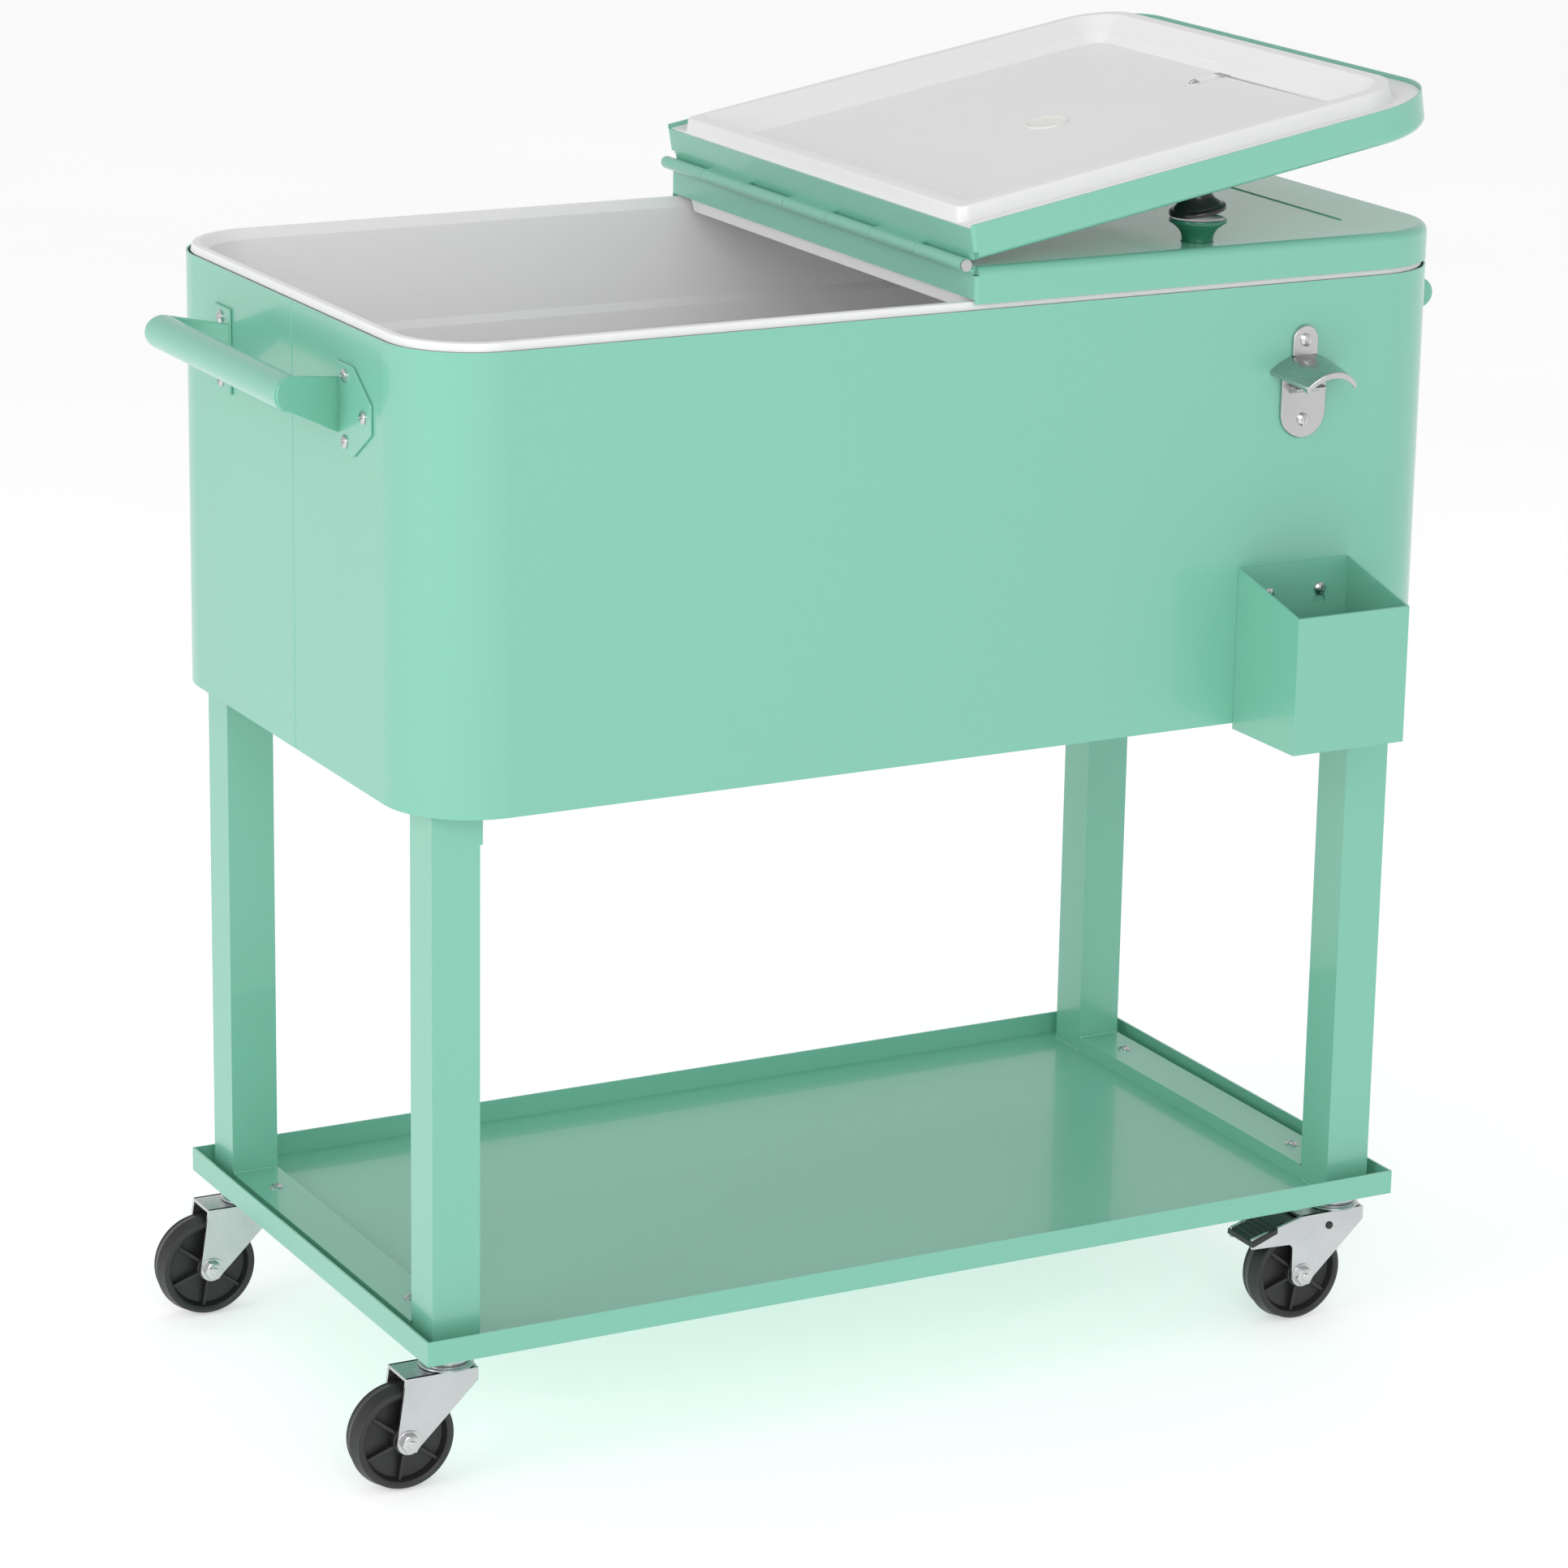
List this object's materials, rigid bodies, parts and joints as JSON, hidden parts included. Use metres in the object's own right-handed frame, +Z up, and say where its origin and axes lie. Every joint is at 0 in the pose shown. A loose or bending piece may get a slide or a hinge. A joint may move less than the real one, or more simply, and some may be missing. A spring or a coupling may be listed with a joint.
{
  "type": "rolling cooler chest",
  "caption": "Insulated patio cooler: a painted steel tub with folding lids and side handles, on square legs with a lower tray, swivel casters, a bottle opener and a cap catcher.",
  "frame": {"origin": "on the floor, below the middle of the whole object's box", "axes": "+X along the length towards the end with the bottle opener and the braked casters, -Y to the front, +Z up"},
  "size_m": [0.9042, 0.528, 0.9209],
  "materials": {
    "mint_paint": "glossy mint-green powder coat on thin steel, faint orange peel",
    "white_plastic": "moulded white plastic liner, satin gloss",
    "white_plastic_small": "slightly warm white moulded plastic",
    "foam": "rigid insulating foam, hidden between the shell and the liner",
    "black_plastic": "black moulded plastic, polished",
    "green_plastic": "dark green moulded plastic, polished",
    "wheel_plastic": "hard black plastic wheel",
    "black_metal": "black painted pressed steel",
    "zinc_plate": "bright zinc-plated pressed steel",
    "stainless": "brushed stainless steel",
    "pin_steel": "plain steel pin",
    "screw_steel": "bright zinc-plated cross-head screws and hex bolts"
  },
  "bodies": {
    "tub_and_stand": {"shell_front": "mint_paint", "shell_back": "mint_paint", "bottom_plate": "mint_paint", "tub_liner": "white_plastic", "rim_collar": "white_plastic", "tub_foam": "foam", "drain_tube": "white_plastic_small", "drain_nut": "white_plastic_small", "handle_left": "mint_paint", "handle_left_screws": "screw_steel", "handle_right": "mint_paint", "handle_right_screws": "screw_steel", "bottle_opener": "stainless", "opener_screws": "screw_steel", "catcher_screws": "screw_steel", "leg_fl": "mint_paint", "leg_fr": "mint_paint", "leg_bl": "mint_paint", "leg_br": "mint_paint", "rail_left": "mint_paint", "rail_right": "mint_paint", "leg_brackets": "mint_paint", "frame_bolts": "screw_steel", "shelf_tray": "mint_paint", "shelf_screws": "screw_steel", "caster_plate_fl": "zinc_plate", "caster_plate_fr": "zinc_plate", "caster_plate_bl": "zinc_plate", "caster_plate_br": "zinc_plate"},
    "lid_right": {"lid_right_skin": "mint_paint", "lid_right_liner": "white_plastic", "lid_right_foam": "foam", "lid_right_plug": "white_plastic_small", "lid_right_screw": "screw_steel", "lid_right_knob": "green_plastic", "hinge_pin": "pin_steel"},
    "lid_left": {"lid_left_skin": "mint_paint", "lid_left_liner": "white_plastic", "lid_left_foam": "foam", "lid_left_plug": "white_plastic_small", "lid_left_screw": "screw_steel", "lid_left_knob": "black_plastic"},
    "drain_cap": {"drain_cap": "black_plastic"},
    "cap_catcher": {"cap_catcher": "mint_paint"},
    "swivel_fl": {"caster_fork_fl": "zinc_plate", "caster_axle_fl": "zinc_plate"},
    "wheel_fl": {"caster_wheel_fl": "wheel_plastic"},
    "swivel_fr": {"caster_fork_fr": "zinc_plate", "caster_axle_fr": "zinc_plate"},
    "wheel_fr": {"caster_wheel_fr": "wheel_plastic"},
    "swivel_bl": {"caster_fork_bl": "zinc_plate", "caster_axle_bl": "zinc_plate"},
    "wheel_bl": {"caster_wheel_bl": "wheel_plastic"},
    "swivel_br": {"caster_fork_br": "zinc_plate", "caster_axle_br": "zinc_plate"},
    "wheel_br": {"caster_wheel_br": "wheel_plastic"},
    "brake_fr": {"brake_pedal_fr": "black_metal"},
    "brake_br": {"brake_pedal_br": "black_metal"}
  },
  "joints": [
    {"name": "lid_right_hinge", "type": "hinge", "parent": "tub_and_stand", "child": "lid_right", "pos_m": [0, 0.039, 0.8205], "axis": [0, -1, 0], "range_deg": [0, 170]},
    {"name": "lid_left_hinge", "type": "hinge", "parent": "lid_right", "child": "lid_left", "pos_m": [0, 0.039, 0.8205], "axis": [0, 1, 0], "range_deg": [-170, 0]},
    {"name": "drain_cap_off", "type": "slide", "parent": "tub_and_stand", "child": "drain_cap", "axis": [0, 0, -1], "range_m": [0, 0.02]},
    {"name": "cap_catcher_lift", "type": "slide", "parent": "tub_and_stand", "child": "cap_catcher", "axis": [0, 0, 1], "range_m": [0, 0.009]},
    {"name": "swivel_fl", "type": "hinge", "parent": "tub_and_stand", "child": "swivel_fl", "pos_m": [-0.3595, -0.138, 0.083], "axis": [0, 0, 1], "continuous": true},
    {"name": "wheel_fl", "type": "hinge", "parent": "swivel_fl", "child": "wheel_fl", "pos_m": [-0.3935, -0.138, 0.0375], "axis": [0, 1, 0], "continuous": true},
    {"name": "swivel_fr", "type": "hinge", "parent": "tub_and_stand", "child": "swivel_fr", "pos_m": [0.3595, -0.138, 0.083], "axis": [0, 0, 1], "continuous": true},
    {"name": "wheel_fr", "type": "hinge", "parent": "swivel_fr", "child": "wheel_fr", "pos_m": [0.3255, -0.138, 0.0375], "axis": [0, 1, 0], "continuous": true},
    {"name": "swivel_bl", "type": "hinge", "parent": "tub_and_stand", "child": "swivel_bl", "pos_m": [-0.3595, 0.216, 0.083], "axis": [0, 0, 1], "continuous": true},
    {"name": "wheel_bl", "type": "hinge", "parent": "swivel_bl", "child": "wheel_bl", "pos_m": [-0.3935, 0.216, 0.0375], "axis": [0, 1, 0], "continuous": true},
    {"name": "swivel_br", "type": "hinge", "parent": "tub_and_stand", "child": "swivel_br", "pos_m": [0.3595, 0.216, 0.083], "axis": [0, 0, 1], "continuous": true},
    {"name": "wheel_br", "type": "hinge", "parent": "swivel_br", "child": "wheel_br", "pos_m": [0.3255, 0.216, 0.0375], "axis": [0, 1, 0], "continuous": true},
    {"name": "brake_fr", "type": "hinge", "parent": "swivel_fr", "child": "brake_fr", "pos_m": [0.3475, -0.138, 0.073], "axis": [0, -1, 0], "range_deg": [0, 5]},
    {"name": "brake_br", "type": "hinge", "parent": "swivel_br", "child": "brake_br", "pos_m": [0.3475, 0.216, 0.073], "axis": [0, -1, 0], "range_deg": [0, 5]}
  ]
}
